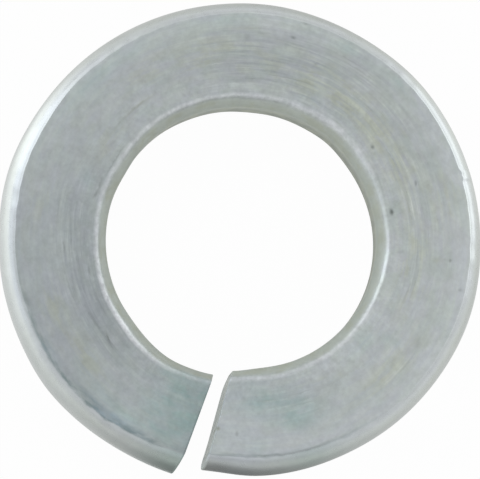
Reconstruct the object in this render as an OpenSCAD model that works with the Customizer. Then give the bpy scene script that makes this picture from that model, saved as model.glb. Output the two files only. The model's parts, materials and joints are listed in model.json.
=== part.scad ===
// Spring lock washer: one turn of flat sided wire, coiled left handed and cut through by a straight slit.
// The bore's axis is Z. The low tip's underside lies at z = 0, and the slit faces -Y.

/* [Washer] */
// Diameter of the bore
bore_d = 10.2; // [6:0.1:16]
// Width of the wire, from the bore to the rim
section_w = 4; // [2.5:0.1:6]
// Thickness of the wire along the axis
section_t = 2.3; // [1.2:0.05:3.5]
// Height of the unloaded washer, from the low tip's underside to the raised tip's top
free_h = 4.6; // [3.6:0.1:6]

/* [Wire edges] */
// Radius of the two rounded corners beside the bore
bore_corner_r = 0.5; // [0.1:0.05:0.55]
// How far the rolled rim bulges out past the flat faces
rim_bulge = 0.5; // [0.2:0.05:0.8]
// Height of the straight band round the middle of the rim
rim_land = 0.3; // [0.1:0.05:0.8]
// Depth of the small step where a flat face meets the rim's curve
rim_step = 0.04; // [0.01:0.01:0.1]

/* [Slit] */
// Width of the slit, at the middle of the wire
slit_w = 0.64; // [0.2:0.02:2]
// Distance by which the slit's line passes beside the bore's axis
slit_offset = 0.84; // [0:0.02:1.5]

/* [Tips] */
// Radius of the broken edge round each cut face
tip_edge_r = 0.08; // [0.03:0.01:0.15]
// How much narrower the wire is at its two tips
tip_pinch = 0.1; // [0:0.01:0.3]
// Length of wire over which it narrows towards a tip
pinch_len = 3; // [1:0.5:6]
// Length by which the cut rolled over one corner of each tip
tip_roll = 0.2; // [0:0.02:0.4]
// Width of that rolled corner
tip_roll_w = 0.7; // [0.3:0.05:1.2]

/* [Hidden] */
zinc = [0.67, 0.70, 0.69];
// Facets of the turned bore
bore_facets = 180;
// Sections round the turn, and steps in each curve of the section
turn_steps = 108;
corner_steps = 5;
rim_steps = 6;
edge_steps = 3;
// Stock left inside the bore's radius, which the bore then cuts away
bore_stock = 0.15;
// Angle off the bore's wall at which a bore corner's curve starts
corner_start = 10;
bore_r = bore_d / 2;
mid_r = bore_r + section_w / 2;
half_t = section_t / 2;
lift = free_h - section_t;
slit_angle = 2 * asin(slit_w / 2 / mid_r);

// One bore corner of the section as [radial, axial] points, from the wall to the flat face
function bore_corner() = [
    for (i = [0 : corner_steps])
        let (a = corner_start + (90 - corner_start) * i / corner_steps)
        [bore_corner_r * (1 - cos(a)), half_t - bore_corner_r * (1 - sin(a))]
];

// One half of the rim: a quarter ellipse that starts a small step below the flat face
function rim_curve() =
    let (high = half_t - rim_step - rim_land / 2)
    [
        for (i = [0 : rim_steps])
            let (a = 90 * i / rim_steps)
            [section_w - rim_bulge * (1 - sin(a)), rim_land / 2 + high * cos(a)]
    ];

// The upper half of the section, from the bore over the flat face to the middle of the rim
function upper_half() = concat(
    [[-bore_stock, half_t - bore_corner_r]],
    bore_corner(),
    [[section_w - rim_bulge - rim_step, half_t]],
    rim_curve()
);

// The lower half is the upper one turned over, so the whole outline runs round once
function mirrored(points) = [
    for (i = [len(points) - 1 : -1 : 0])
        [points[i][0], -points[i][1]]
];

outline = concat(upper_half(), mirrored(upper_half()));
outline_n = len(outline);

// Angle by which the slit's straight line trails its own middle at radius r
function slit_lean(r) = asin(slit_offset / mid_r) - asin(slit_offset / r);

// How far a corner of the cut face is rolled back, at a given distance from that corner
function rolled(distance) = tip_roll * pow(max(0, 1 - distance / tip_roll_w), 2);

// Narrowing of the wire at a given length of wire from the nearer tip
function pinch(length) =
    let (near = max(0, 1 - length / pinch_len))
    tip_pinch * near * near * (3 - 2 * near);

// A station is [length from the low tip, length from the raised tip, share of the turn, edge inset]
wire_len = (360 - slit_angle) * PI / 180 * mid_r;

function tip_station(i) =
    let (a = 90 * i / edge_steps)
    [tip_edge_r * (1 - cos(a)), tip_edge_r * (1 - sin(a))];

stations = concat(
    [for (i = [0 : edge_steps]) [tip_station(i)[0] / wire_len, tip_station(i)[1]]],
    [for (i = [1 : turn_steps - 1]) [i / turn_steps, 0]],
    [for (i = [edge_steps : -1 : 0]) [1 - tip_station(i)[0] / wire_len, tip_station(i)[1]]]
);

// A point of the section carried to a share of the turn, counted clockwise from the low tip
function placed(point, share, inset) =
    let (
        along = share * wire_len,
        from_tip = min(along, wire_len - along),
        u = section_w / 2 + (point[0] - section_w / 2) * (1 - 2 * inset / section_w),
        v = point[1] * (1 - 2 * inset / section_t),
        r = bore_r + u * (1 - pinch(from_tip) / section_w),
        low_cut = slit_angle / 2 + rolled(section_w - u) / r * 180 / PI,
        raised_cut = 360 - slit_angle / 2 - rolled(u) / r * 180 / PI,
        turned = low_cut + (raised_cut - low_cut) * share + slit_lean(r),
        height = half_t + lift * (turned - slit_angle / 2) / (360 - slit_angle)
    )
    [-r * sin(turned), -r * cos(turned), height + v];

module coiled_wire() {
    last = len(stations) - 1;
    rings = [
        for (s = stations)
            for (p = outline)
                placed(p, s[0], s[1])
    ];
    tip_centre = [section_w / 2, 0];
    centres = [placed(tip_centre, 0, 0), placed(tip_centre, 1, 0)];
    low_centre = len(rings);
    sides = [
        for (s = [0 : last - 1])
            for (i = [0 : outline_n - 1])
                let (
                    j = (i + 1) % outline_n,
                    a = s * outline_n,
                    b = a + outline_n
                )
                each [[a + i, a + j, b + i], [a + j, b + j, b + i]]
    ];
    low_face = [
        for (i = [0 : outline_n - 1])
            [low_centre, (i + 1) % outline_n, i]
    ];
    raised_face = [
        for (i = [0 : outline_n - 1])
            let (a = last * outline_n)
            [low_centre + 1, a + i, a + (i + 1) % outline_n]
    ];
    polyhedron(points = concat(rings, centres), faces = concat(sides, low_face, raised_face), convexity = 4);
}

module lock_washer() {
    color(zinc)
    difference() {
        coiled_wire();
        translate([0, 0, -free_h])
        cylinder(r = bore_r, h = 3 * free_h, $fn = bore_facets);
    }
}

lock_washer();
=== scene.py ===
"""Looks of the spring lock washer: one turn of zinc plated wire under soft studio light.

The bore's axis is Z and the slit faces -Y. Places on the washer are given as the angle turned
clockwise from -Y, seen from above, and as the distance across the wire from the bore.
"""

import json
import math

import bpy
import numpy as np
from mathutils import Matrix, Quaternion, Vector


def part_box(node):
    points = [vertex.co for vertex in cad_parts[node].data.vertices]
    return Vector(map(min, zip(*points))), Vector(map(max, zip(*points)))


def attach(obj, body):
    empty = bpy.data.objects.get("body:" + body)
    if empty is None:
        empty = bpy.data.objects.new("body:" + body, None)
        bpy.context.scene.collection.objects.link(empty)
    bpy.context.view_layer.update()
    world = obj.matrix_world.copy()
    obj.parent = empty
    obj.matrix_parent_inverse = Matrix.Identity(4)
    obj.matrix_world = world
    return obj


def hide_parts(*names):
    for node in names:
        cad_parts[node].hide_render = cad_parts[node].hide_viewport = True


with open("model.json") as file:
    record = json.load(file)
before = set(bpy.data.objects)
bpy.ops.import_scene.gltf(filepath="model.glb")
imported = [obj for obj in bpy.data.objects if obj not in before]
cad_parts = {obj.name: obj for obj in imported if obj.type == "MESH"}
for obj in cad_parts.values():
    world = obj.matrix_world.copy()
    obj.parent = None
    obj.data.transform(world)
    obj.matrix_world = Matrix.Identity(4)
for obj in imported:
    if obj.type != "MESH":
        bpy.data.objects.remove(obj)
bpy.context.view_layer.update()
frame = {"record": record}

MM = 0.001
NODE = "lock_washer"
BODY = "root"

# Sizes of the washer
bore_mount = next(m for m in frame["record"]["mounts"] if m["name"] == "bore")
box_low, box_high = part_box(NODE)
BORE_R = bore_mount["dims"]["r_mm"] * MM
RIM_R = (box_high.x - box_low.x) / 2
WIRE_W = RIM_R - BORE_R
WIRE_T = 2.3 * MM
FREE_H = 4.6 * MM
LIFT = FREE_H - WIRE_T
MID_R = (BORE_R + RIM_R) / 2

# The wire's section
CORNER_W = 0.54 * MM
CORNER_TILT = math.radians(58)
FIRST_BEND = (0.0, 0.22)
SECOND_BEND = (0.60, 1.0)
RIM_BULGE = 0.50 * MM
RIM_LAND = 0.30 * MM
RIM_STEP = 0.012 * MM
RIM_KINK = math.radians(7)
# Share of the flat face at its last row before the crease, which keeps the crease crisp
BY_CREASE = 0.992

# The slit, the tips and the dish of the cut faces
SLIT_W = 0.61 * MM
SLIT_OFFSET = 0.84 * MM
SLIT_ANGLE = 2 * math.asin(SLIT_W / 2 / MID_R)
TIP_EDGE = 0.045 * MM
LOW_ROLL = 0.11 * MM
RAISED_ROLL = 0.055 * MM
RAISED_FLARE = 0.035 * MM
TIP_ROLL_W = 0.70 * MM
ROLL_POWER = 1.4
DISH = 0.012 * MM

# Unevenness of the coil, each as (turned degrees, spread in degrees, height in mm)
RIM_WAVES = [
    (40, 8, 0.045), (15, 13, -0.055), (94, 12, 0.06), (175, 10, 0.025), (214, 10, 0.045),
    (321, 12, -0.03), (354, 7, -0.10), (276, 13, 0.04), (228, 14, 0.02),
]
BORE_WAVES = [
    (19, 13, 0.09), (46, 9, -0.03), (112, 9, -0.05), (137, 9, 0.02), (177, 10, -0.04), (213, 9, 0.045),
    (361, 9, 0.14), (15, 7, -0.03), (229, 34, -0.03), (345, 9, -0.02),
]
BULGE_WAVES = [
    (332, 25, 0.05), (6, 14, 0.16), (240.5, 0.75, -0.085), (242.0, 0.75, -0.085), (69, 10, -0.04),
    (119, 8, -0.04), (238, 18, -0.02), (306, 9, -0.04), (355, 4, -0.05), (12, 4, -0.03), (38, 6, 0.035),
]
CORNER_WAVES = [
    (335, 22, 0.06), (29, 12, 0.06), (254, 22, -0.05), (52, 26, 0.07), (100, 18, 0.03), (264, 9, 0.05),
    (197, 9, -0.025), (327, 7, -0.035), (180, 45, -0.02), (56, 14, 0.02), (108, 8, 0.03),
]

# Fine unevenness of crease and bore corner: seed, height in mm, fewest and most waves in one turn
CREASE_RIPPLE = (5, 0.006, 20, 80)
CORNER_RIPPLE = (11, 0.005, 12, 60)
# Step between the counts of waves
RIPPLE_STEP = 3

# Small dents, each as (turned degrees, across, length, width, depth), in mm
DENTS = [
    (242.7, 3.60, 0.30, 0.16, 0.030), (244.5, 3.76, 0.12, 0.10, 0.020),
    (197.0, 3.62, 0.20, 0.12, 0.010),
]
# Shares of a dent's depth by which it presses inwards and down
DENT_INWARD = 0.5
DENT_DOWN = 0.85

# Counts of the mesh
STATIONS = 840
EDGE_RINGS = 5
CAP_RINGS = 7
CORNER_STEPS = 16
FLAT_STEPS = 15
RIM_STEPS = 20
WALL_STEPS = 4

# Zones of the surface: the mm past the bore corner or the crease over which one begins or ends
BORE_ENDS = (-0.36, -0.13)
RIM_BEGINS = (0.045, -0.045)
WEAR_AND_HIGHLIGHT_BEGINS = (-0.27, -0.14)
WEAR_AND_HIGHLIGHT_ENDS = (-0.13, 0.01)
# Shares of the extra width of the band of wear and painted highlight by which the bore's zone and the
# band's far side follow it
BORE_FOLLOWS = 0.35
FLAT_FOLLOWS = 0.4
# A strip of the flat face beside an edge: the mm over which it fades out, and over which it begins
BESIDE_CREASE = ((0.85, 0.15), (-0.02, 0.0))
BESIDE_CORNER = ((0.55, 0.05), (-0.06, 0.0))

# Share of wear, with a painted highlight, at the bore corner, from 0 to 1, and more so here: (turned
# degrees, spread, share)
WEAR_AND_HIGHLIGHT_SHARE = 0.42
WEAR_AND_HIGHLIGHT_WAVES = [
    (46, 16, 0.55), (277, 15, -0.30), (250, 22, -0.38), (318, 14, 0.14), (205, 20, 0.14),
    (150, 30, 0.08), (9, 15, -0.16), (68, 15, 0.20), (50, 6, 0.08), (298, 9, -0.08),
]
# How much wider the band of wear and painted highlight is: (turned degrees, spread, mm)
WEAR_AND_HIGHLIGHT_WIDER = [(276, 16, 0.16), (215, 40, 0.09), (40, 10, 0.03)]
# Extra brightness beside the crease, beside the bore corner, and in the bore, where it is painted light:
# (turned, spread, share)
CREASE_LIFT = [
    (130, 26, 0.07), (178, 24, 0.15), (224, 26, 0.10), (262, 22, 0.10), (292, 14, 0.06),
    (318, 12, 0.05),
]
CORNER_LIFT = [(290, 30, 0.045), (212, 24, 0.045), (350, 8, 0.04), (52, 20, -0.03)]
BORE_PAINTED_LIGHT = [(170, 34, 0.09), (195, 12, 0.02), (235, 40, 0.07), (330, 20, 0.04), (10, 14, -0.05)]
# Where the rim shares the tips' teal tone: (turned degrees, spread, share)
TEAL_RIM = [(333, 8, 0.60), (5, 6, 0.95), (13, 5, 0.25)]

# Broad tones, each as (turned degrees, mm across, spread in degrees, mm wide, share). The grey
# tones darken the flat face; the others are tones of the plating.
GREY_TONES = [
    (52, 2.0, 42, 9.0, 0.62), (50, 0.9, 38, 0.7, 0.26), (3, 1.6, 11, 9.0, 0.38),
    (348, 0.8, 18, 0.9, 0.35), (182, 2.0, 58, 9.0, 0.39), (110, 2.0, 24, 9.0, 0.10),
    (325, 1.9, 12, 1.2, 0.14), (97, 2.0, 20, 1.2, 0.10), (175, 1.9, 30, 0.6, 0.12),
    (97, 0.9, 24, 0.6, 0.16), (85, 2.0, 14, 9.0, 0.06), (334, 2.0, 8, 0.6, 0.18),
    (20, 3.1, 8, 0.4, -0.12), (155, 3.1, 16, 0.45, -0.12), (130, 1.6, 16, 0.9, 0.08),
    (231, 2.1, 11, 0.6, 0.10),
]
TEAL_TONES = [
    (7, 1.6, 13, 1.4, 1.0), (12, 0.6, 9, 0.3, 0.4), (333, 2.20, 9, 0.55, 0.60),
    (339.5, 1.45, 10, 0.50, 0.66), (349, 1.0, 10, 0.8, 0.25), (346, 3.2, 5, 0.3, 0.3),
    (22, 2.9, 16, 0.4, 0.5), (165, 3.2, 7, 0.3, 0.35), (198, 3.2, 4, 0.3, 0.45),
    (214, 3.3, 4, 0.2, 0.35), (125, 3.1, 22, 0.4, 0.40), (195, 0.7, 6, 0.3, 0.40),
    (295, 1.8, 3, 0.4, 0.40), (300, 0.9, 7, 0.5, 0.35), (100, 1.1, 6, 0.3, 0.40),
    (247, 0.7, 3, 0.3, 0.25),
]
OLIVE_TONES = [
    (196, 1.6, 22, 0.9, 0.55), (228, 1.3, 22, 0.6, 0.55), (270, 1.4, 14, 0.6, 0.6),
    (303, 2.4, 13, 0.5, 0.5), (42, 2.4, 12, 0.5, 0.45), (60, 2.5, 8, 0.4, 0.4),
    (160, 2.0, 14, 0.8, 0.5), (248, 2.6, 8, 0.7, 0.45), (115, 1.2, 10, 0.4, 0.35),
    (138, 2.2, 8, 0.6, 0.32), (88, 2.6, 8, 0.6, 0.3),
]
STREAKY_TONES = [
    (197, 1.9, 38, 1.4, 0.90), (250, 1.5, 18, 0.8, 0.65), (272, 1.5, 14, 0.6, 0.40),
    (72, 1.3, 30, 0.8, 0.90), (300, 2.6, 12, 0.5, 0.35), (333, 1.4, 12, 0.9, 0.45),
    (165, 2.4, 14, 0.9, 0.30), (38, 1.2, 10, 0.6, 0.50), (172, 1.1, 18, 0.6, 0.50),
    (12, 1.1, 12, 0.6, 0.35),
]
BLUE_TONES = [(19, 3.27, 4, 0.20, 0.60), (27, 3.32, 4, 0.16, 0.50), (49, 3.35, 5, 0.14, 0.30)]
DIRT_TONES = [
    (32, 3.32, 7, 0.17, 0.85), (24, 3.36, 5, 0.12, 0.45), (44, 3.38, 4, 0.12, 0.30),
    (55, 3.42, 5, 0.09, 0.20),
]
COOL_TONES = [
    (70, 2.0, 60, 9.0, 0.40), (325, 2.0, 22, 9.0, 0.30), (351, 2.2, 8, 9.0, 0.60),
    (5, 2.0, 10, 9.0, 0.30),
]

# Marks seen on the top face, each as (turned degrees, mm across, length, width, climb, share)
DARK_MARKS = [
    (357.5, 2.47, 0.060, 0.070, 0.00, 0.34), (249.1, 0.59, 0.150, 0.070, 0.00, 0.90),
    (223.7, 0.92, 0.085, 0.060, 0.00, 0.60), (191.5, 2.12, 0.070, 0.050, 0.00, 0.30),
    (183.1, 2.80, 0.085, 0.055, 0.00, 0.50), (241.2, 1.78, 0.110, 0.045, -0.25, 0.45),
    (185.3, 3.45, 0.090, 0.035, 0.00, 0.30), (265.4, 2.76, 0.060, 0.055, 0.00, 0.45),
    (272.8, 3.28, 0.050, 0.060, 0.00, 0.30), (352.0, 2.64, 0.065, 0.115, 0.00, 0.34),
    (42.3, 1.22, 0.260, 0.035, -0.20, 0.50), (53.0, 0.84, 0.420, 0.035, 0.03, 0.38),
    (67.0, 0.82, 0.230, 0.030, -0.03, 0.40), (75.7, 1.66, 0.200, 0.035, 0.00, 0.34),
    (62.0, 3.40, 0.220, 0.050, 0.00, 0.25), (95.3, 0.70, 0.170, 0.055, -0.20, 0.42),
    (100.0, 0.66, 0.330, 0.045, 0.00, 0.48), (110.0, 0.60, 0.800, 0.028, 0.00, 0.34),
    (127.0, 1.28, 1.000, 0.050, 0.00, 0.24), (170.3, 2.55, 0.110, 0.130, 0.00, 0.22),
    (174.4, 2.74, 0.150, 0.070, 0.00, 0.26), (200.0, 2.83, 0.900, 0.028, 0.00, 0.20),
    (203.0, 2.69, 0.600, 0.028, 0.00, 0.18), (194.5, 0.55, 0.400, 0.040, 0.00, 0.22),
    (208.0, 0.56, 0.450, 0.040, 0.00, 0.18), (236.0, 0.50, 0.750, 0.045, -0.02, 0.24),
    (189.0, 1.30, 0.700, 0.030, 0.05, 0.22), (217.0, 1.36, 0.350, 0.030, 0.00, 0.18),
    (247.5, 1.31, 0.850, 0.028, -0.02, 0.18), (275.0, 1.58, 0.750, 0.032, 0.00, 0.15),
    (279.0, 1.38, 0.450, 0.028, -0.05, 0.16), (299.0, 2.72, 0.900, 0.040, 0.02, 0.12),
    (291.0, 2.60, 0.160, 0.080, 0.30, 0.13), (315.0, 1.44, 0.900, 0.045, 0.00, 0.12),
    (322.0, 1.42, 0.420, 0.055, 0.00, 0.17), (330.0, 1.72, 0.550, 0.028, -0.10, 0.18),
    (331.5, 1.29, 0.700, 0.025, 0.00, 0.17), (343.0, 1.34, 0.400, 0.040, 0.00, 0.26),
    (344.0, 3.42, 1.100, 0.030, 0.00, 0.30), (333.0, 3.44, 0.550, 0.030, 0.00, 0.26),
    (64.0, 1.72, 0.900, 0.030, 0.05, 0.16), (50.0, 1.35, 0.700, 0.030, 0.00, 0.16),
    (12.0, 1.05, 0.600, 0.030, 0.00, 0.16), (81.0, 1.05, 0.500, 0.040, 0.00, 0.22),
    (87.0, 1.95, 0.450, 0.040, 0.00, 0.20), (90.0, 1.50, 0.600, 0.035, 0.00, 0.18),
    (72.0, 1.20, 0.500, 0.035, 0.04, 0.20),
]
OLIVE_MARKS = [
    (357.5, 2.48, 0.070, 0.075, 0.00, 0.55), (190.0, 1.33, 0.800, 0.045, 0.09, 0.18),
    (200.0, 1.58, 0.450, 0.045, 0.25, 0.14), (205.2, 1.62, 0.240, 0.055, 0.00, 0.08),
    (204.5, 1.38, 0.300, 0.080, 0.00, 0.05), (224.5, 1.22, 0.420, 0.120, 0.00, 0.28),
    (224.5, 1.56, 0.170, 0.060, 0.00, 0.30), (233.0, 1.27, 0.500, 0.045, 0.00, 0.28),
    (248.5, 1.27, 0.800, 0.032, 0.00, 0.32), (237.0, 1.88, 0.170, 0.120, 0.00, 0.35),
    (225.5, 2.20, 0.200, 0.100, 0.00, 0.25), (261.0, 1.30, 0.350, 0.050, 0.00, 0.32),
    (265.8, 2.25, 0.130, 0.260, 0.00, 0.28), (248.5, 3.12, 0.350, 0.200, 0.00, 0.25),
    (272.0, 1.20, 0.350, 0.100, 0.00, 0.24), (280.0, 1.42, 0.600, 0.050, -0.06, 0.30),
    (290.5, 2.60, 0.260, 0.240, 0.00, 0.26), (305.5, 2.45, 0.450, 0.200, 0.00, 0.17),
    (315.5, 1.32, 0.220, 0.120, 0.00, 0.28), (321.0, 1.12, 0.350, 0.120, 0.00, 0.20),
    (40.0, 2.38, 0.500, 0.250, 0.00, 0.10), (58.0, 2.50, 0.700, 0.180, 0.10, 0.07),
    (131.0, 1.30, 0.800, 0.050, 0.00, 0.28), (112.0, 1.05, 0.350, 0.150, 0.00, 0.16),
    (139.0, 2.35, 0.500, 0.250, 0.00, 0.08), (169.0, 2.93, 0.550, 0.090, 0.00, 0.30),
    (162.0, 1.75, 0.600, 0.120, 0.00, 0.20), (242.0, 2.75, 0.300, 0.180, 0.00, 0.20),
]
LIGHT_MARKS = [
    (184.0, 1.22, 0.550, 0.030, 0.05, 0.28), (187.0, 2.52, 0.700, 0.022, 0.00, 0.24),
    (194.0, 1.75, 0.500, 0.022, 0.18, 0.22), (160.0, 1.62, 0.500, 0.025, 0.00, 0.28),
    (166.0, 2.22, 0.600, 0.022, 0.00, 0.20), (172.0, 1.42, 0.700, 0.022, 0.00, 0.20),
    (245.0, 1.16, 0.650, 0.030, 0.00, 0.32), (229.0, 1.36, 0.600, 0.022, 0.00, 0.20),
    (216.0, 2.55, 0.700, 0.022, 0.00, 0.16), (249.0, 1.42, 0.600, 0.022, 0.00, 0.22),
    (274.0, 1.45, 0.700, 0.022, 0.00, 0.20), (300.0, 2.64, 0.800, 0.022, 0.00, 0.14),
    (206.5, 1.72, 0.350, 0.040, 0.00, 0.22), (72.0, 1.45, 0.600, 0.022, 0.00, 0.14),
    (325.0, 2.05, 0.600, 0.022, 0.00, 0.14),
]
# Length in mm from which the clouds break a mark up, and how ragged the marks' edges are, in mm
LONG_MARK = 0.2
RAGGED_MARK = 0.11

# Colours of the flat face, the rolled rim and the bore, whose low colour is painted shade. The flat
# face's darker tint and the rim's cream multiply the others
FLAT_GREY = (0.562, 0.610, 0.600, 1)
FLAT_LILAC = (0.576, 0.606, 0.630, 1)
FLAT_COOL = (0.567, 0.607, 0.650, 1)
FLAT_TEAL = (0.435, 0.574, 0.565, 1)
FLAT_OLIVE = (0.545, 0.582, 0.498, 1)
FLAT_DARKENED = (0.688, 0.702, 0.714, 1)
RIM_GREY = (0.622, 0.662, 0.660, 1)
RIM_LILAC = (0.620, 0.652, 0.680, 1)
RIM_COOL = (0.602, 0.650, 0.704, 1)
RIM_TEAL = (0.480, 0.568, 0.560, 1)
RIM_CREAM = (1.0, 1.0, 0.945, 1)
# The low colour of the bore is painted shade.
BORE_LOW_PAINTED_SHADE = (0.295, 0.318, 0.282, 1)
BORE_MIDDLE = (0.425, 0.460, 0.424, 1)
BORE_TOP = (0.512, 0.550, 0.512, 1)
BORE_OLIVE = (0.465, 0.488, 0.405, 1)

# Colours of the worn corner with its painted highlight, the cut faces, the dirt with painted shade along
# the crease, the stain and the marks
WEAR_AND_HIGHLIGHT_BRIGHT = (0.830, 0.860, 0.890, 1)
CUT_GREY = (0.610, 0.625, 0.600, 1)
CREASE_DIRT_AND_SHADE = (0.235, 0.298, 0.303, 1)
BLUE_STAIN = (0.290, 0.430, 0.560, 1)
DARK_MARK = (0.160, 0.180, 0.170, 1)
OLIVE_MARK = (0.430, 0.455, 0.345, 1)
LIGHT_MARK = (0.800, 0.840, 0.830, 1)
WHITE = (1, 1, 1, 1)

# Drawn streaks: how many lie side by side in one mm, and their length in mm
FINE_STREAKS = {"Fineness": 9.0, "Length": 1.7}
BROAD_STREAKS = {"Fineness": 3.5, "Length": 4.0}
# Patches of the plating: size in mm, a shift that sets each kind apart, noise levels where one begins
LILAC_PATCHES = {"Size": 0.50, "Shift": 3.0, "Low": 0.38, "High": 0.62}
TEAL_PATCHES = {"Size": 0.50, "Shift": 17.0, "Low": 0.38, "High": 0.62}
OLIVE_PATCHES = {"Size": 0.42, "Shift": 31.0, "Low": 0.42, "High": 0.66}
BRIGHT_PATCHES = {"Size": 0.40, "Shift": 53.0, "Low": 0.35, "High": 0.60}
SMALL_SPOTS = {"Size": 0.11, "Shift": 71.0, "Low": 0.36, "High": 0.62}
# Noises over the wire: their scale, for each mm or in streaks and patches, and how fine they go
STREAK_NOISE = {"scale": 1.0, "detail": 3.0, "rough": 0.6}
PATCH_NOISE = {"scale": 1.0, "detail": 2.5, "rough": 0.55}
CLOUDS = {"scale": 1.7, "detail": 4.0, "rough": 0.62}
GRIT = {"scale": 5.5, "detail": 2.0, "rough": 0.6}
PEEL = {"scale": 2.2}
# How much longer than wide a patch is, and the mm above the wire's middle where marks begin
PATCH_STRETCH = 1.8
MARKS_ABOVE = (0.0, 0.3)

# Shares of the teal and olive tones where their tables give none, and of teal between its patches
TEAL_ANYWHERE = 0.10
OLIVE_ANYWHERE = 0.18
TEAL_BETWEEN = 0.58
# Share in the table at which the olive tone is full, the broad streaks, fine streaks and patches in
# its noise, and the noise levels where it begins
OLIVE_FULL = 0.8
OLIVE_MIX = (0.45, 0.40, 0.15)
OLIVE_BEGINS = (0.36, 0.60)
# On the rim: share of its lilac patches, and the mm past the crease over which it turns creamy
RIM_LILAC_SHARE = 0.5
RIM_CREAM_FROM = (-0.08, -0.36)
# In the bore: the mm above the wire's middle over which each colour gives way, the low one being painted
# shade, and share of the olive
BORE_PALER = (-0.20, 0.80)
BORE_TOP_FROM = (0.40, 0.88)
BORE_OLIVE_SHARE = 0.45
# Brightness of the worn corner and its painted highlight between its patches and in them, and with its
# small spots
WEAR_AND_HIGHLIGHT_PATCHED = (0.72, 1.10)
WEAR_AND_HIGHLIGHT_SPOTTED = (0.86, 1.06)

# The clouds' noise levels from thin to thick, and how strong streaks and long marks are at the two
CLOUD_LEVELS = (0.40, 0.60)
STREAKS_BY_CLOUD = (0.55, 1.40)
MARKS_BY_CLOUD = (0.45, 1.15)
# Strength of the streaks where the face is plain and where it is streaky, and off the flat face
STREAKS_BY_TONE = (0.45, 1.9)
STREAKS_OFF_FLAT = 0.35
# Strength of the mottles: more towards the bore corner, less where streaky, and off the flat face
MOTTLES_INNER = (1.6, 0.1, 1.0, 1.2)
MOTTLES_BY_TONE = (0.2, 1.0, 1.0, 0.75)
MOTTLES_OFF_FLAT = 0.5
# The strip of glints: the mm from the bore corner over which it begins, and over which it ends
GLINTS = ((-0.42, -0.24), (0.08, -0.06))
# Swings of the brightness, as shares of it, with each of the noises
FINE_SWING = 0.33
BROAD_SWING = 0.24
CLOUD_SWING = 0.34
GRIT_SWING = 0.25
GLINT_SWING = 0.030

# Darkening along the crease, a band and a line of painted shade: the degrees turned over which it grows
# or fades, and its strength there
CREASE_DARK_FROM_SLIT = (5.0, 16.0, 0.35, 1.0)
CREASE_DARK_FADES = (84.0, 36.0)
SHADE_LINE_AGAIN = (308.0, 328.0)
BAND_SHARE = 0.72
LOW_SHADE_LINE_SHARE = 0.18
RAISED_SHADE_LINE_SHARE = 0.33
# The dark band, the painted shade line, the dirt patches and the stain: the mm from the crease where
# each fades and begins
CREASE_DARK_BAND = ((0.36, 0.05), (-0.11, 0.03))
CREASE_SHADE_LINE = ((0.14, 0.03), (-0.09, 0.02))
PATCH_BEGINS = (-0.09, 0.04)
STAIN_BEGINS = (-0.09, 0.02)
# How far the edge of the crease's darkening wanders off the crease, in mm, by a noise, and the noise's
# shrink along
RAGGED_CREASE_DARK = 0.22
RAVEL = {"scale": 2.6, "detail": 3.0, "rough": 0.6}
RAVEL_ALONG = 0.9
# The noise that breaks the crease's darkening up, its shrink along and across, and the levels where it
# begins
BREAKS = {"scale": 1.9, "detail": 4.0, "rough": 0.66}
BREAKS_ALONG = 0.6
BREAKS_ACROSS = 1.4
BREAK_LEVELS = (0.38, 0.60)
# What is left of the shade line and the dirt patches where the darkening is broken, and of the stain
# between patches
SHADE_LINE_BROKEN = 0.62
PATCH_BROKEN = 0.6
STAIN_BETWEEN = 0.3

# Roughness: of the flat face, its swing with the grit, what bore and rim add, and of the cuts' edges
DULL = 0.34
DULL_SWING = 0.12
BORE_DULLER = 0.34
RIM_DULLER = -0.05
CUT_DULL = 0.70
CUT_EDGE = (0.11, 0.03)
# The plating's faint orange peel, as a bump: shares of grit and peel, strength and height
PEEL_MIX = (0.2, 0.9)
PEEL_STRENGTH = 0.15
PEEL_HEIGHT = 0.02 * MM

# The floor: half its width in metres, its paper and the share of white in what is seen of it
FLOOR_HALF = 1.5
FLOOR_PAPER = (0.86, 0.86, 0.86, 1)
FLOOR_WHITE = 0.97

# The ring of cards on the floor: its radii, height, levels near and far, and counts of its mesh
CARD_INNER = 9.2 * MM
CARD_OUTER = 400 * MM
CARD_UP = 0.01 * MM
CARD_NEAR = 0.72
CARD_FAR = 0.82
CARD_FAR_FROM = 22 * MM
CARDS_AROUND = 240
CARDS_OUT = 12
# Cards round the washer: photo angle, spread in degrees, reach in mm, change near it and beyond
CARD_LEVELS = [
    (212, 17, 14, -0.12, 0.60), (184, 30, 12, 0.06, 0.42), (332, 22, 15, 0.00, 0.26),
    (283, 24, 14, -0.10, -0.08), (91, 29, 25, -0.53, -0.25), (107, 8, 60, -0.04, -0.13),
]

# Levels of the room, and the heights and the reach towards the photo's bottom where they change
ROOM_ZENITH = 0.74
ROOM_SIDE = 0.86
ROOM_BOTTOM = 0.60
SIDE_HEIGHTS = (0.75, 0.05)
BOTTOM_REACH = (-0.55, -1.0)

# Soft boxes: name, photo angle, degrees up, width and height in metres, radiance, colour
LEFT_LEVEL = 1.44
RIGHT_LEVEL = 1.37
SOFT_BOXES = [
    ("left_box", 213, 26, 0.13, 0.36, LEFT_LEVEL - ROOM_SIDE, (0.985, 1.0, 1.035)),
    ("upper_left_box", 234, 40, 0.10, 0.14, 0.20, (1, 1, 1)),
    ("left_fill_box", 190, 16, 0.32, 0.30, 0.15, (0.88, 0.98, 1.10)),
    ("right_box", 332, 18, 0.21, 0.26, RIGHT_LEVEL - ROOM_SIDE, (0.98, 1.0, 1.01)),
]
BOX_DISTANCE = 0.30

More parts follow.
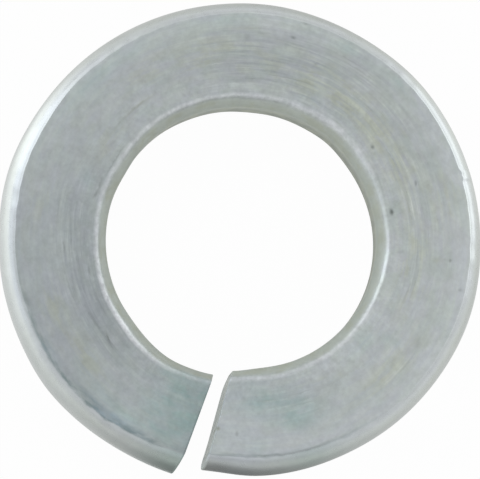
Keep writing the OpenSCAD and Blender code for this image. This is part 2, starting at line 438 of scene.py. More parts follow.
# The camera, by the photo's frame of 480 by 479 pixels
IMAGE_W = 480
PHOTO_TURN = math.radians(11.32)
CAMERA_LEAN = math.radians(10.68)
CAMERA_LEAN_TOWARD = PHOTO_TURN - math.radians(128.49)
PHOTO_RIM_R = 9.1 * MM
RIM_RS_AWAY = 60
PIXELS_PER_RIM_R = 239.95
CENTRE_RIGHT_PX = -0.087
CENTRE_DOWN_PX = 1.879
SENSOR_MM = 36.0
CLIP_NEAR = 0.01
CLIP_FAR = 10


def bells(turned, table):
    """Sum of bell curves of the angle turned, one for each row of (degrees, spread, height)."""
    degrees = np.degrees(turned)[..., None]
    at, spread, high = np.array(table, float).T
    return (high * np.exp(-(((degrees - at) / spread) ** 2))).sum(-1)


def waves(turned, table):
    """Height in metres at an angle turned: the sum of the table's bell curves, which are in mm."""
    return bells(turned, table) * MM


def ripple(turned, seed, high, fewest, most):
    """Fine waves in metres at an angle turned: a sum of sines of many lengths at random phases."""
    rng = np.random.default_rng(seed)
    counts = np.arange(fewest, most, RIPPLE_STEP)
    phases = rng.uniform(0, 2 * np.pi, len(counts))
    sizes = rng.normal(0, 1, len(counts)) / math.sqrt(len(counts) / 2)
    return high * MM * (sizes * np.sin(turned[..., None] * counts + phases)).sum(-1)


def smooth(value, low, high):
    """0 below low, 1 above high and an easy curve between."""
    t = np.clip((value - low) / (high - low), 0, 1)
    return t * t * (3 - 2 * t)


def bore_corner():
    """The corner from the bore wall to the flat face, as rows of (across, below the face).

    Its direction turns from upright to level in two bends with a steep slope between them. The
    steps along that direction are added up, and the sum is scaled to the corner's width.
    """
    share = np.linspace(0, 1, CORNER_STEPS)
    tilt = np.pi / 2 - (np.pi / 2 - CORNER_TILT) * smooth(share, *FIRST_BEND)
    tilt = tilt - CORNER_TILT * smooth(share, *SECOND_BEND)
    middle = (tilt[1:] + tilt[:-1]) / 2
    across = np.append(0, np.cumsum(np.cos(middle)))
    up = np.append(0, np.cumsum(np.sin(middle)))
    scale = CORNER_W / across[-1]
    return across * scale, (up - up[-1]) * scale


def half_outline():
    """Upper half of the wire's section, as rows of (across, up, corner share, bulge share).

    Straight bore wall, bore corner, flat face, small step, then an ellipse over the rim. The
    two shares say how far a point follows a wider corner or bulge.
    """
    top = WIRE_T / 2
    across, below = bore_corner()
    corner = np.stack([across, top + below, across / CORNER_W, 0 * across], 1)
    up = np.linspace(0, corner[0, 1], WALL_STEPS, endpoint=False)
    wall = np.stack([0 * up, up, 0 * up, 0 * up], 1)
    flat_w = WIRE_W - RIM_BULGE - RIM_STEP - CORNER_W
    s = np.append(np.linspace(0, 1, FLAT_STEPS)[1:-1], [BY_CREASE, 1.0])
    flat = np.stack([CORNER_W + flat_w * s, top + 0 * s, 1 - s, -s], 1)
    b = RIM_KINK + (np.pi / 2 - RIM_KINK) * np.linspace(0, 1, RIM_STEPS)
    high = (top - RIM_STEP - RIM_LAND / 2) / np.cos(RIM_KINK)
    wide = RIM_BULGE / (1 - np.sin(RIM_KINK))
    inward = wide * (1 - np.sin(b))
    rim = np.stack([WIRE_W - inward, RIM_LAND / 2 + high * np.cos(b), 0 * b, -inward / RIM_BULGE], 1)
    return np.concatenate([wall, corner, flat, rim])


def outline():
    """The whole section, which runs once round: the upper half, then the same turned over."""
    half = half_outline()
    return np.concatenate([half, half[:0:-1] * [1, -1, 1, 1]])


def slit_lean(r):
    """Angle by which the slit's straight line trails its own middle at radius r."""
    return np.arcsin(SLIT_OFFSET / MID_R) - np.arcsin(SLIT_OFFSET / r)


def carried(across, up, share, corner=0.0, bulge=0.0):
    """Carries points of the section round the coil to a share of the turn, 0 at the low tip.

    The radius is the bore's plus the distance across, with the coil's waves mixed in from the
    bore to the rim. The height rises in proportion to the angle turned. Both cut faces follow
    the slit's straight line. One corner of each is rolled back, and the raised tip spreads a
    little at the rim. Returned with the places, both in mm, are (length along, across, up) and
    the distances from (bore corner, crease, nearer cut).
    """
    low_end = SLIT_ANGLE / 2
    raised_end = 2 * np.pi - SLIT_ANGLE / 2
    rough = (low_end + (raised_end - low_end) * share)[:, :1]
    corner_wave = waves(rough, CORNER_WAVES) + ripple(rough, *CORNER_RIPPLE)
    bulge_wave = waves(rough, BULGE_WAVES) + ripple(rough, *CREASE_RIPPLE)
    across = across + corner * corner_wave + bulge * bulge_wave
    out = across / WIRE_W
    r = BORE_R + across + waves(rough, RIM_WAVES) * out + waves(rough, BORE_WAVES) * (1 - out)
    low_roll = LOW_ROLL * np.clip(1 - (WIRE_W - across) / TIP_ROLL_W, 0, 1) ** ROLL_POWER
    raised_roll = RAISED_ROLL * np.clip(1 - across / TIP_ROLL_W, 0, 1) ** ROLL_POWER
    raised_roll = raised_roll - RAISED_FLARE * smooth(across, WIRE_W - 2 * TIP_ROLL_W, WIRE_W)
    low = low_end + low_roll / r
    raised = raised_end - raised_roll / r
    turned = low + (raised - low) * share + slit_lean(r)
    height = WIRE_T / 2 + LIFT * (turned - low_end) / (raised_end - low_end) + up
    place = np.stack([-r * np.sin(turned), -r * np.cos(turned), height], -1)
    from_corner = across - CORNER_W - corner_wave
    from_crease = WIRE_W - RIM_BULGE - bulge_wave - across
    from_cut = np.minimum(share, 1 - share) * (raised_end - low_end) * MID_R
    wire = np.stack([turned * MID_R, across, up + 0 * turned], -1) / MM
    return place, wire, np.stack([from_corner, from_crease, from_cut], -1) / MM


def coil_rings():
    """Shares of the turn and edge insets of the sections: a quarter circle eases each end."""
    e = np.linspace(0, np.pi / 2, EDGE_RINGS)
    inset = TIP_EDGE * (1 - np.sin(e))
    back = TIP_EDGE * (1 - np.cos(e)) / (MID_R * (2 * np.pi - SLIT_ANGLE))
    middle = np.linspace(0, 1, STATIONS)[1:-1]
    share = np.concatenate([back, middle, 1 - back[::-1]])
    return share, np.concatenate([inset, 0 * middle, inset[::-1]])


def inset_section(section, inset):
    """Shrinks the section about its middle, so that it loses the inset on every side."""
    across = WIRE_W / 2 + (section[:, 0] - WIRE_W / 2) * (1 - 2 * inset / WIRE_W)
    return across, section[:, 1] * (1 - 2 * inset / WIRE_T)


def coil_surface():
    """Grid over the coil: rings along the turn by points round the section."""
    section = outline()
    share, inset = coil_rings()
    across, up = inset_section(section, inset[:, None])
    return carried(across, up, share[:, None] + 0 * across, section[:, 2], section[:, 3])


def cut_face(end):
    """Grid over one cut face: the section's outline drawn in towards the middle of the wire.

    Each ring is the outline scaled by a smaller factor. The face is dished very slightly, as a
    shear leaves it: the dish is a half cosine of the scale.
    """
    section = outline()
    across, up = inset_section(section, TIP_EDGE)
    scale = np.linspace(1, 0, CAP_RINGS + 1)[1:-1, None]
    wide = WIRE_W / 2 + (across - WIRE_W / 2) * scale
    dish = DISH * np.cos(scale * np.pi / 2) / (MID_R * (2 * np.pi - SLIT_ANGLE))
    share = end + dish * (1 - 2 * end) + 0 * wide
    return carried(wide, up * scale, share)


def grid_quads(rows, columns, rows_close=False, columns_close=False):
    """Quads between neighbours in a grid of vertices, which may close round either way."""
    row = np.arange(rows if rows_close else rows - 1)
    column = np.arange(columns if columns_close else columns - 1)
    i, j = np.meshgrid(row, column, indexing="ij")
    i_after = (i + 1) % rows
    j_after = (j + 1) % columns
    here = [i * columns + j, i * columns + j_after]
    beyond = [i_after * columns + j_after, i_after * columns + j]
    return np.stack(here + beyond, -1).reshape(-1, 4)


def washer_mesh():
    """Vertices, faces and attributes of the closed washer.

    The coil's grid comes first. Each cut face then adds its rings, a centre vertex and a fan.
    """
    coil = coil_surface()
    rings, around = coil[0].shape[:2]
    parts = [coil]
    cut = [np.zeros(rings * around)]
    quads = [grid_quads(rings, around, columns_close=True)]
    triangles = []
    used = rings * around
    turn = np.arange(around)
    after = (turn + 1) % around
    for end, edge in ((0, 0), (1, (rings - 1) * around)):
        face = cut_face(end)
        caps = len(face[0])
        parts += [face, carried(np.full((1, 1), WIRE_W / 2), 0.0, np.full((1, 1), float(end)))]
        cut.append(np.ones(caps * around + 1))
        starts = [edge] + [used + n * around for n in range(caps)]
        for outer, inner in zip(starts, starts[1:]):
            ring = np.stack([outer + turn, inner + turn, inner + after, outer + after], -1)
            quads.append(ring if end == 0 else ring[:, ::-1])
        middle = used + caps * around
        fan = np.stack([starts[-1] + turn, 0 * turn + middle, starts[-1] + after], -1)
        triangles.append(fan if end == 0 else fan[:, ::-1])
        used = middle + 1
    rows = [[grid.reshape(-1, 3) for grid in part] for part in parts]
    points, wire, edges = (np.concatenate(column) for column in zip(*rows))
    return points, np.concatenate(quads), np.concatenate(triangles), wire, edges, np.concatenate(cut)


def dent(points, wire, turned, across, long, wide, deep):
    """Presses a small dent into the top: a bell curve of the distance from its middle."""
    along = (wire[:, 0] - math.radians(turned) * MID_R / MM) / long
    aside = (wire[:, 1] - across) / wide
    press = deep * MM * np.exp(-(along**2) - aside**2) * (wire[:, 2] > 0)
    outward = np.stack([points[:, 0], points[:, 1], 0 * press], 1)
    outward /= np.linalg.norm(outward, axis=1, keepdims=True)
    return points - press[:, None] * (outward * DENT_INWARD + np.array([0, 0, DENT_DOWN]))


def make_mesh(name, points, quads, triangles=()):
    """Puts arrays of points and faces into a new mesh object at the origin."""
    mesh = bpy.data.meshes.new(name)
    corners = np.concatenate([quads.ravel(), np.ravel(triangles)]).astype(np.int32)
    sizes = np.concatenate([np.full(len(quads), 4), np.full(len(triangles), 3)])
    starts = np.concatenate([[0], np.cumsum(sizes)[:-1]]).astype(np.int32)
    mesh.vertices.add(len(points))
    mesh.vertices.foreach_set("co", points.astype(np.float32).ravel())
    mesh.loops.add(len(corners))
    mesh.loops.foreach_set("vertex_index", corners)
    mesh.polygons.add(len(sizes))
    mesh.polygons.foreach_set("loop_start", starts)
    mesh.polygons.foreach_set("use_smooth", np.ones(len(sizes), bool))
    mesh.update(calc_edges=True)
    mesh.validate()
    piece = bpy.data.objects.new(name, mesh)
    bpy.context.scene.collection.objects.link(piece)
    return piece


def add_attribute(piece, name, values):
    """Stores a value or a row of three at each vertex, for the materials."""
    kind, field = ("FLOAT", "value") if values.ndim == 1 else ("FLOAT_VECTOR", "vector")
    attribute = piece.data.attributes.new(name, kind, "POINT")
    attribute.data.foreach_set(field, values.astype(np.float32).ravel())


class Nodes:
    """Short ways to add shader nodes to one tree. A value may be a number or another node's socket."""

    def __init__(self, tree):
        self.tree = tree

    def add(self, kind, output=0, inputs=None, **settings):
        node = self.tree.nodes.new(kind)
        for key, value in settings.items():
            setattr(node, key, value)
        for key, value in (inputs or {}).items():
            self.set(node.inputs[key], value)
        return node.outputs[output]

    def set(self, socket, value):
        if isinstance(value, bpy.types.NodeSocket):
            self.tree.links.new(value, socket)
        else:
            socket.default_value = value

    def surface(self, shader):
        """Sends a shader to the material's surface."""
        leave = self.tree.nodes.new("ShaderNodeOutputMaterial")
        self.tree.links.new(shader, leave.inputs["Surface"])

    def attribute(self, name, output="Vector"):
        """Reads what the mesh stores under a name, as a row of three or as one value, Fac."""
        return self.add("ShaderNodeAttribute", output, attribute_name=name)

    def math(self, operation, a, b=0.0, clamp=False):
        return self.add("ShaderNodeMath", operation=operation, use_clamp=clamp, inputs={0: a, 1: b})

    def times(self, value, *others):
        """Product of all that is given."""
        for other in others:
            value = self.math("MULTIPLY", value, other)
        return value

    def plus(self, value, *others):
        """Sum of all that is given."""
        for other in others:
            value = self.math("ADD", value, other)
        return value

    def larger(self, a, b):
        return self.math("MAXIMUM", a, b)

    def swing(self, value, size):
        """Turns a noise of 0 to 1 into a swing about 0, by half the size either way."""
        return self.times(self.math("SUBTRACT", value, 0.5), size)

    def join(self, x, y, z):
        return self.add("ShaderNodeCombineXYZ", inputs={0: x, 1: y, 2: z})

    def parts(self, vector):
        node = self.tree.nodes.new("ShaderNodeSeparateXYZ")
        self.set(node.inputs[0], vector)
        return node.outputs

    def ramp(self, value, low, high, start=0.0, end=1.0):
        """Goes smoothly from start to end while the value goes from low to high."""
        inputs = {"Value": value, "From Min": low, "From Max": high, "To Min": start, "To Max": end}
        return self.add("ShaderNodeMapRange", inputs=inputs, interpolation_type="SMOOTHSTEP")

    def factor(self, share, start, end=1.0):
        """Goes smoothly from start to end while a share goes from 0 to 1."""
        return self.ramp(share, 0.0, 1.0, start, end)

    def strip(self, distance, first, second):
        """Share of a strip beside an edge: the product of a ramp at one side of it and at the other."""
        return self.times(self.ramp(distance, *first), self.ramp(distance, *second))

    def noise(self, place, scale, detail=2.0, rough=0.5):
        inputs = {"Vector": place, "Scale": scale, "Detail": detail, "Roughness": rough}
        return self.add("ShaderNodeTexNoise", inputs=inputs)

    def mix(self, share, a, b, blend="MIX"):
        """Goes from colour a to colour b, or to a blended with b, as the share goes from 0 to 1."""
        node = self.tree.nodes.new("ShaderNodeMix")
        node.data_type = "RGBA"
        node.blend_type = blend
        self.set(node.inputs[0], share)
        self.set(node.inputs[6], a)
        self.set(node.inputs[7], b)
        return node.outputs[2]

    def tint(self, colour, by):
        """Multiplies a colour by another."""
        return self.mix(1.0, colour, by, "MULTIPLY")


def new_material(name):
    """An empty material, and its Nodes."""
    material = bpy.data.materials.new(name)
    material.use_nodes = True
    material.node_tree.nodes.clear()
    return material, Nodes(material.node_tree)


def new_group(name, output, **values):
    """A shader node group that reads Wire and the values named, and puts out one value.

    Returned are the group, its Nodes, its sockets to read and the socket to fill.
    """
    group = bpy.data.node_groups.new(name, "ShaderNodeTree")
    group.interface.new_socket("Wire", in_out="INPUT", socket_type="NodeSocketVector")
    for title, default in values.items():
        socket = group.interface.new_socket(title, in_out="INPUT", socket_type="NodeSocketFloat")
        socket.default_value = default
    group.interface.new_socket(output, in_out="OUTPUT", socket_type="NodeSocketFloat")
    given = group.nodes.new("NodeGroupInput").outputs
    leave = group.nodes.new("NodeGroupOutput").inputs[output]
    return group, Nodes(group), given, leave


def use_group(nodes, group, **inputs):
    """Places a node group with its inputs set, and returns its output."""
    node = nodes.tree.nodes.new("ShaderNodeGroup")
    node.node_tree = group
    for key, value in inputs.items():
        nodes.set(node.inputs[key], value)
    return node.outputs[0]


def drawn_streaks_group():
    """Fine streaks along the wire, as drawing and coiling leave them: noise stretched along the turn."""
    group, n, given, leave = new_group("drawn streaks", "Streak", Fineness=9.0, Length=4.0)
    along, across, up = n.parts(given["Wire"])
    place = n.join(
        n.math("DIVIDE", along, given["Length"]),
        n.times(across, given["Fineness"]),
        n.times(up, given["Fineness"]),
    )
    n.set(leave, n.noise(place, **STREAK_NOISE))
    return group


def patches_group():
    """Soft patches over the plating: noise pulled a little along the wire, as a mask from 0 to 1."""
    defaults = {"Size": 1.0, "Shift": 0.0, "Low": 0.45, "High": 0.65}
    group, n, given, leave = new_group("plating patches", "Patch", **defaults)
    along, across, up = n.parts(given["Wire"])
    place = n.join(
        n.plus(n.math("DIVIDE", along, n.times(given["Size"], PATCH_STRETCH)), given["Shift"]),
        n.math("DIVIDE", across, given["Size"]),
        n.math("DIVIDE", up, given["Size"]),
    )
    n.set(leave, n.ramp(n.noise(place, **PATCH_NOISE), given["Low"], given["High"]))
    return group


def mark_group():
    """One soft oval mark on the top: 1 at its middle, falling off as a bell curve.

    Its long axis climbs across the wire by the climb, for each mm along.
    """
    defaults = {"At": 0.0, "Across": 0.0, "Long": 0.1, "Wide": 0.1, "Climb": 0.0}
    group, n, given, leave = new_group("oval mark", "Mark", **defaults)
    along, across, up = n.parts(given["Wire"])
    ahead = n.math("SUBTRACT", along, given["At"])
    side = n.math("SUBTRACT", across, given["Across"])
    side = n.math("SUBTRACT", side, n.times(ahead, given["Climb"]))
    x = n.math("POWER", n.math("DIVIDE", ahead, given["Long"]), 2.0)
    y = n.math("POWER", n.math("DIVIDE", side, given["Wide"]), 2.0)
    bell = n.math("EXPONENT", n.times(n.plus(x, y), -1.0))
    n.set(leave, n.times(bell, n.ramp(up, *MARKS_ABOVE)))
    return group


class Plating:
    """What the parts of the zinc plate share: the mesh's attributes, and the noises over the wire.

    along, across, up and the distances from edges are in mm, the lift is a factor, and the others
    are shares from 0 to 1.
    """

    def __init__(self, n):
        self.wire = n.attribute("wire")
        self.along, self.across, self.up = n.parts(self.wire)
        self.from_corner, self.from_crease, self.from_cut = n.parts(n.attribute("edges"))
        self.on_bore, self.on_rim, self.on_cut = n.parts(n.attribute("zone"))
        self.greyer, self.tealer, self.oliver = n.parts(n.attribute("tone"))
        self.streaky, self.bluer, self.lift = n.parts(n.attribute("streaky"))
        self.rim_teal, self.cool, self.dirty = n.parts(n.attribute("hue"))
        self.wear_and_highlight = n.attribute("wear_and_highlight", "Fac")
        streaks = drawn_streaks_group()
        self.fine = use_group(n, streaks, Wire=self.wire, **FINE_STREAKS)
        self.broad = use_group(n, streaks, Wire=self.wire, **BROAD_STREAKS)
        patches = patches_group()
        self.lilac = use_group(n, patches, Wire=self.wire, **LILAC_PATCHES)
        self.teal = use_group(n, patches, Wire=self.wire, **TEAL_PATCHES)
        self.olive = use_group(n, patches, Wire=self.wire, **OLIVE_PATCHES)
        self.bright = use_group(n, patches, Wire=self.wire, **BRIGHT_PATCHES)
        self.spots = use_group(n, patches, Wire=self.wire, **SMALL_SPOTS)
        self.clouds = n.noise(self.wire, **CLOUDS)
        self.grit = n.noise(self.wire, **GRIT)


def flat_colour(n, plating):
    """The flat face: grey with lilac patches, then cool, teal and olive tones over it, and darkened
    where the grey tones lie.

    A tone's share is its broad bell curves times the patches or streaks that break it up.
    """
    colour = n.mix(plating.lilac, FLAT_GREY, FLAT_LILAC)
    colour = n.mix(plating.cool, colour, FLAT_COOL)
    share = n.times(n.factor(plating.tealer, TEAL_ANYWHERE), n.factor(plating.teal, TEAL_BETWEEN))
    colour = n.mix(share, colour, FLAT_TEAL)
    noises = (plating.broad, plating.fine, plating.olive)
    streaked = n.plus(*[n.times(noise, weight) for noise, weight in zip(noises, OLIVE_MIX)])
    share = n.ramp(plating.oliver, 0.0, OLIVE_FULL, OLIVE_ANYWHERE, 1.0)
    share = n.times(share, n.ramp(streaked, *OLIVE_BEGINS))
    colour = n.mix(share, colour, FLAT_OLIVE)
    return n.tint(colour, n.mix(plating.greyer, WHITE, FLAT_DARKENED))


def rim_colour(n, plating):
    """The rolled rim: paler than the flat face, teal at the tips, and creamy further out."""
    colour = n.mix(n.times(plating.lilac, RIM_LILAC_SHARE), RIM_GREY, RIM_LILAC)
    colour = n.mix(plating.cool, colour, RIM_COOL)
    colour = n.mix(plating.rim_teal, colour, RIM_TEAL)
    return n.mix(n.ramp(plating.from_crease, *RIM_CREAM_FROM), colour, n.tint(colour, RIM_CREAM))


def bore_colour(n, plating):
    """The bore: painted shade low down, paler towards the top, with olive patches."""
    colour = n.mix(n.ramp(plating.up, *BORE_PALER), BORE_LOW_PAINTED_SHADE, BORE_MIDDLE)
    colour = n.mix(n.ramp(plating.up, *BORE_TOP_FROM), colour, BORE_TOP)
    return n.mix(n.times(plating.olive, BORE_OLIVE_SHARE), colour, BORE_OLIVE)


def clean_colour(n, plating):
    """The plating by zones, before it is shaded or marked. The worn corner, with its painted highlight,
    is bright in patches.
    """
    bright = n.times(n.factor(plating.bright, *WEAR_AND_HIGHLIGHT_PATCHED), n.factor(plating.spots, *WEAR_AND_HIGHLIGHT_SPOTTED))
    # The worn corner's brightness is wear with a painted highlight.
    bright = n.math("MULTIPLY", plating.wear_and_highlight, bright, clamp=True)
    colour = n.mix(bright, flat_colour(n, plating), WEAR_AND_HIGHLIGHT_BRIGHT)
    colour = n.mix(plating.on_rim, colour, rim_colour(n, plating))
    colour = n.mix(plating.on_bore, colour, bore_colour(n, plating))
    return n.mix(plating.on_cut, colour, CUT_GREY)


def brightness(n, plating):
    """Factor on the colour: 1 plus the swings of streaks, clouds, grit and glints, times the lift, which
    in the bore is painted light.

    Streaks swing most where the face is streaky and cloudy, and clouds and grit near the bore
    corner. Both swing less on the rim and in the bore. Glints lie on the worn corner.
    """
    on_flat = n.math("SUBTRACT", 1.0, n.larger(plating.on_rim, plating.on_bore))
    streaks = n.plus(n.swing(plating.fine, FINE_SWING), n.swing(plating.broad, BROAD_SWING))
    lined = n.times(n.factor(plating.streaky, *STREAKS_BY_TONE), n.factor(on_flat, STREAKS_OFF_FLAT))
    lined = n.times(lined, n.ramp(plating.clouds, *CLOUD_LEVELS, *STREAKS_BY_CLOUD))
    mottles = n.plus(n.swing(plating.clouds, CLOUD_SWING), n.swing(plating.grit, GRIT_SWING))
    strong = n.ramp(plating.from_corner, *MOTTLES_INNER)
    strong = n.times(strong, n.ramp(plating.streaky, *MOTTLES_BY_TONE))
    mottles = n.times(mottles, n.times(strong, n.factor(on_flat, MOTTLES_OFF_FLAT)))
    glints = n.times(n.strip(plating.from_corner, *GLINTS), n.swing(plating.spots, GLINT_SWING))
    level = n.plus(1.0, n.times(streaks, lined), n.plus(mottles, glints))
    return n.times(level, plating.lift)


def crease_dirt_and_shade(n, plating):
    """Share of the darkening along the crease, mostly near the low tip.

    It is a darker band beside the crease, broken up by noise along the wire, a thin line of
    painted shade right at the crease, and the dirt patches given. The band and the line are kept
    to two stretches of the turn.
    """
    along, across, up = plating.along, plating.across, plating.up
    turned = n.times(along, MM / MID_R * 180 / math.pi)
    near_low = n.times(n.ramp(turned, *CREASE_DARK_FADES), n.ramp(turned, *CREASE_DARK_FROM_SLIT))
    near_raised = n.times(n.ramp(turned, *SHADE_LINE_AGAIN), RAISED_SHADE_LINE_SHARE)
    ravel = n.noise(n.join(n.times(along, RAVEL_ALONG), across, up), **RAVEL)
    from_crease = n.plus(plating.from_crease, n.swing(ravel, RAGGED_CREASE_DARK))
    place = n.join(n.times(along, BREAKS_ALONG), n.times(across, BREAKS_ACROSS), up)
    broken = n.ramp(n.noise(place, **BREAKS), *BREAK_LEVELS)
    band = n.times(n.strip(from_crease, *CREASE_DARK_BAND), n.times(broken, BAND_SHARE), near_low)
    # The thin line right at the crease is painted shade.
    shade_line = n.larger(n.times(near_low, LOW_SHADE_LINE_SHARE), near_raised)
    shade_line = n.times(n.strip(from_crease, *CREASE_SHADE_LINE), shade_line, n.factor(broken, SHADE_LINE_BROKEN))
    patch = n.times(n.factor(broken, PATCH_BROKEN), n.ramp(from_crease, *PATCH_BEGINS))
    return n.larger(n.times(plating.dirty, patch), n.math("ADD", band, shade_line, clamp=True))


def blue_stain(n, plating):
    """Share of the blue stain: its bell curves, kept to the flat side of the crease, in patches."""
    patch = n.times(n.ramp(plating.from_crease, *STAIN_BEGINS), n.factor(plating.teal, STAIN_BETWEEN))
    return n.times(plating.bluer, patch)


def with_marks(n, plating, colour):
    """Lays the marks over a colour. The grit makes their edges ragged, and long ones are patchy."""
    mark = mark_group()
    ragged = n.plus(plating.across, n.swing(plating.grit, RAGGED_MARK))
    ragged = n.join(plating.along, ragged, plating.up)
    patchy = n.ramp(plating.clouds, *CLOUD_LEVELS, *MARKS_BY_CLOUD)
    for table, paint in ((OLIVE_MARKS, OLIVE_MARK), (LIGHT_MARKS, LIGHT_MARK), (DARK_MARKS, DARK_MARK)):
        for turned, across, long, wide, climb, deep in table:
            sizes = {"Across": across, "Long": long, "Wide": wide, "Climb": climb}
            at = math.radians(turned) * MID_R / MM
            spot = n.times(use_group(n, mark, Wire=ragged, At=at, **sizes), deep)
            if long > LONG_MARK:
                spot = n.times(spot, patchy)
            colour = n.mix(spot, colour, paint)
    return colour


def roughness(n, plating):
    """Roughness: even but for the grit, duller in the bore and dullest at the edges of the cuts."""
    rough = n.plus(n.swing(plating.grit, DULL_SWING), DULL)
    rough = n.plus(rough, n.times(plating.on_bore, BORE_DULLER), n.times(plating.on_rim, RIM_DULLER))
    return n.larger(rough, n.times(n.ramp(plating.from_cut, *CUT_EDGE), CUT_DULL))


def orange_peel(n, plating):
    """Bump of the plating: a sum of its grit and a wider noise."""
    grit_share, peel_share = PEEL_MIX
    peel = n.noise(plating.wire, **PEEL)
    height = n.plus(n.times(plating.grit, grit_share), n.times(peel, peel_share))
    inputs = {"Height": height, "Strength": PEEL_STRENGTH, "Distance": PEEL_HEIGHT}
    return n.add("ShaderNodeBump", inputs=inputs)


def zinc_plate():
    """Zinc plate: satin metal with mottled grey, teal and olive tones, streaks, dirt and specks, with
    painted shade along the crease and low in the bore, and a painted highlight on the worn bore corner.
    """
    material, n = new_material("zinc_plate")
    plating = Plating(n)
    level = brightness(n, plating)
    colour = n.tint(clean_colour(n, plating), n.join(level, level, level))
    # Dirt along the crease, with a thin line of painted shade at it.
    colour = n.mix(crease_dirt_and_shade(n, plating), colour, CREASE_DIRT_AND_SHADE)
    colour = n.mix(blue_stain(n, plating), colour, BLUE_STAIN)
    finish = {
        "Metallic": 1.0,
        "Base Color": with_marks(n, plating, colour),
        "Roughness": roughness(n, plating),
        "Normal": orange_peel(n, plating),
    }
    n.surface(n.add("ShaderNodeBsdfPrincipled", inputs=finish))
    return material


def tone(wire, table):
    """Share of a broad tone: a sum of bell curves of the degrees turned and the mm across."""
    degrees = np.degrees(wire[:, 0] * MM / MID_R)[:, None]
    at, across, spread, wide, amount = np.array(table, float).T
    bell = np.exp(-(((degrees - at) / spread) ** 2) - ((wire[:, 1:2] - across) / wide) ** 2)
    return np.clip((amount * bell).sum(1), 0, 1)


def beside(distance, fades, begins):
    """Share of a strip beside an edge: 1 next to it, and 0 further off and past the edge."""
    return smooth(distance, *fades) * smooth(distance, *begins)


def plating_attributes(wire, edges, cut):
    """What the zinc plate reads at each vertex, by name.

    The zones and the band of wear and painted highlight follow the distances from the bore
    corner and the crease. The wear with its painted highlight, the lift of the brightness, which
    in the bore is painted light, and the rim's teal are bell curves of the angle turned.
    """
    turned = wire[:, 0] * MM / MID_R
    corner, crease = edges[:, 0], edges[:, 1]
    wider = bells(turned, WEAR_AND_HIGHLIGHT_WIDER)
    on_bore = (1 - smooth(corner + BORE_FOLLOWS * wider, *BORE_ENDS)) * (1 - cut)
    on_rim = smooth(crease, *RIM_BEGINS) * (1 - cut)
    # The band of wear at the bore corner also carries a painted highlight.
    wear_and_highlight = smooth(corner + wider, *WEAR_AND_HIGHLIGHT_BEGINS) * (1 - smooth(corner - FLAT_FOLLOWS * wider, *WEAR_AND_HIGHLIGHT_ENDS))
    wear_and_highlight = wear_and_highlight * (1 - cut) * np.clip(WEAR_AND_HIGHLIGHT_SHARE + bells(turned, WEAR_AND_HIGHLIGHT_WAVES), 0, 1)
    # In the bore the lift is painted light.
    lift = 1 + bells(turned, BORE_PAINTED_LIGHT) * on_bore
    lift = lift + bells(turned, CREASE_LIFT) * beside(crease, *BESIDE_CREASE)
    lift = lift + bells(turned, CORNER_LIFT) * beside(corner, *BESIDE_CORNER)
    rim_teal = np.clip(bells(turned, TEAL_RIM), 0, 1) * on_rim
    return {
        "wire": wire,
        "edges": edges,
        "zone": np.stack([on_bore, on_rim, cut], 1),
        "wear_and_highlight": wear_and_highlight,
        "tone": np.stack([tone(wire, table) for table in (GREY_TONES, TEAL_TONES, OLIVE_TONES)], 1),
        "streaky": np.stack([tone(wire, STREAKY_TONES), tone(wire, BLUE_TONES), lift], 1),
        "hue": np.stack([rim_teal, tone(wire, COOL_TONES), tone(wire, DIRT_TONES)], 1),
    }


def lock_washer():
    """The whole washer: the coil, its two cut faces, its dents, and what the material reads."""
    points, quads, triangles, wire, edges, cut = washer_mesh()
    for row in DENTS:
        points = dent(points, wire, *row)
    piece = make_mesh("washer_coil", points, quads, triangles)
    for name, values in plating_attributes(wire, edges, cut).items():
        add_attribute(piece, name, values)
    piece.data.materials.append(zinc_plate())
    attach(piece, BODY)
    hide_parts(NODE)


def white_floor():
    """A wide white floor: it shows as white to the camera and in the metal, and takes a faint shadow."""
    corners = FLOOR_HALF * np.array([[-1, -1, 0], [1, -1, 0], [1, 1, 0], [-1, 1, 0]], float)
    floor = make_mesh("floor", corners, np.array([[0, 1, 2, 3]]))
    material, n = new_material("white_floor")
    path = n.tree.nodes.new("ShaderNodeLightPath").outputs
    seen = n.larger(n.larger(path["Is Camera Ray"], path["Is Glossy Ray"]), path["Is Transmission Ray"])
    white = n.add("ShaderNodeEmission", inputs={"Color": WHITE, "Strength": 1.0})
    paper = n.add("ShaderNodeBsdfDiffuse", inputs={"Color": FLOOR_PAPER})
    n.surface(n.add("ShaderNodeMixShader", inputs={0: n.times(seen, FLOOR_WHITE), 1: paper, 2: white}))
    floor.data.materials.append(material)


def soft_box(name, azimuth, elevation, width, height, radiance, colour):
    """An area lamp that faces the washer. The azimuth is clockwise from the photo's right.

    A lamp's power is four times its radiance times its area.
    """
    angle = PHOTO_TURN - math.radians(azimuth)
    tilt = math.radians(elevation)
    away = Vector((math.cos(angle) * math.cos(tilt), math.sin(angle) * math.cos(tilt), math.sin(tilt)))
    lamp = bpy.data.lights.new(name, "AREA")
    lamp.shape = "RECTANGLE"
    lamp.size = width
    lamp.size_y = height
    lamp.energy = 4 * radiance * width * height
    lamp.color = colour
    holder = bpy.data.objects.new(name, lamp)
    bpy.context.scene.collection.objects.link(holder)
    holder.location = Vector((0, 0, FREE_H / 2)) + away * BOX_DISTANCE
    holder.rotation_mode = "QUATERNION"
    holder.rotation_quaternion = away.to_track_quat("Z", "Y")


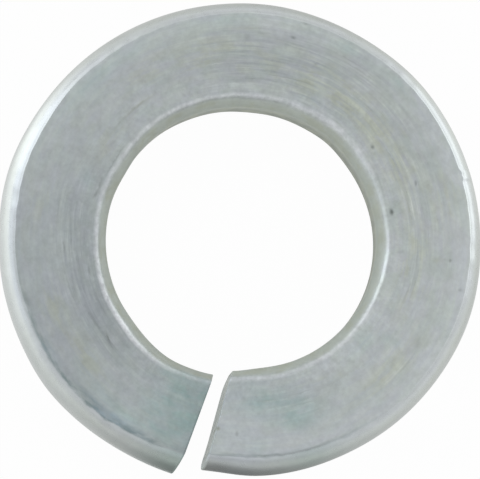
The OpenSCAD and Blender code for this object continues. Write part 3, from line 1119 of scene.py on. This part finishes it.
def studio_world():
    """A pale room, lighter at its sides than overhead and darker towards the photo's bottom."""
    world = bpy.data.worlds.new("studio")
    bpy.context.scene.world = world
    world.use_nodes = True
    n = Nodes(world.node_tree)
    ahead = (-math.sin(PHOTO_TURN), math.cos(PHOTO_TURN), 0)
    place = n.add("ShaderNodeTexCoord", "Generated")
    toward_top = n.add("ShaderNodeVectorMath", "Value", {0: place, 1: ahead}, operation="DOT_PRODUCT")
    level = n.ramp(n.parts(place)[2], *SIDE_HEIGHTS, ROOM_ZENITH, ROOM_SIDE)
    level = n.plus(level, n.ramp(toward_top, *BOTTOM_REACH, 0.0, ROOM_BOTTOM - ROOM_SIDE))
    background = world.node_tree.nodes["Background"]
    n.set(background.inputs["Color"], WHITE)
    n.set(background.inputs["Strength"], level)


def card_levels(angle, out):
    """Brightness of the cards at an angle and a distance out.

    A card's level falls off as a bell curve of the angle from its middle, over a grey ring.
    """
    photo_angle = np.degrees(PHOTO_TURN - angle)
    level = CARD_NEAR + (CARD_FAR - CARD_NEAR) * smooth(out, CARD_INNER, CARD_FAR_FROM)
    for at, spread, reach, near_change, far_change in CARD_LEVELS:
        aside = (photo_angle - at + 180) % 360 - 180
        far = smooth(np.log(out / CARD_INNER), 0, math.log(reach * MM / CARD_INNER))
        change = near_change + (far_change - near_change) * far
        level = level + np.exp(-((aside / spread) ** 2)) * change
    return np.clip(level, 0, None).ravel()


def floor_cards():
    """A ring of cards on the floor round the washer, which show only in the metal's lower edges.

    Its rows of vertices are even in angle, and each is a fixed factor further out than the last.
    """
    around = np.linspace(0, 2 * np.pi, CARDS_AROUND, endpoint=False)
    angle, share = np.meshgrid(around, np.linspace(0, 1, CARDS_OUT), indexing="ij")
    out = CARD_INNER * (CARD_OUTER / CARD_INNER) ** share
    points = np.stack([out * np.cos(angle), out * np.sin(angle), 0 * out + CARD_UP], -1).reshape(-1, 3)
    cards = make_mesh("floor_cards", points, grid_quads(CARDS_AROUND, CARDS_OUT, rows_close=True))
    add_attribute(cards, "level", card_levels(angle, out))
    material, n = new_material("floor_cards")
    level = n.attribute("level", "Fac")
    n.surface(n.add("ShaderNodeEmission", inputs={"Color": WHITE, "Strength": level}))
    cards.data.materials.append(material)
    cards.visible_camera = False
    cards.visible_diffuse = False
    cards.visible_shadow = False
    cards.visible_transmission = False


def studio():
    """The pale room, the cards on the floor, and four soft boxes: three at the left, one right."""
    studio_world()
    floor_cards()
    for row in SOFT_BOXES:
        soft_box(*row)


def camera():
    """The photo's view: almost straight down, leaning a little towards its lower left."""
    data = bpy.data.cameras.new("camera")
    data.sensor_width = SENSOR_MM
    data.lens = SENSOR_MM * PIXELS_PER_RIM_R * RIM_RS_AWAY / IMAGE_W
    data.clip_start = CLIP_NEAR
    data.clip_end = CLIP_FAR
    holder = bpy.data.objects.new("camera", data)
    bpy.context.scene.collection.objects.link(holder)
    bpy.context.scene.camera = holder
    away = Vector((
        math.sin(CAMERA_LEAN) * math.cos(CAMERA_LEAN_TOWARD),
        math.sin(CAMERA_LEAN) * math.sin(CAMERA_LEAN_TOWARD),
        math.cos(CAMERA_LEAN),
    ))
    upright = Quaternion((0, 0, 1), PHOTO_TURN)
    turn = Vector((0, 0, 1)).rotation_difference(away) @ upright
    pixel = PHOTO_RIM_R / PIXELS_PER_RIM_R
    right = turn @ Vector((1, 0, 0))
    top = turn @ Vector((0, 1, 0))
    holder.rotation_mode = "QUATERNION"
    holder.rotation_quaternion = turn
    centre = Vector((0, 0, FREE_H / 2))
    aim = centre - right * CENTRE_RIGHT_PX * pixel + top * CENTRE_DOWN_PX * pixel
    holder.location = aim + away * RIM_RS_AWAY * PHOTO_RIM_R


lock_washer()
white_floor()
studio()
camera()
bpy.context.scene.view_settings.view_transform = "Standard"
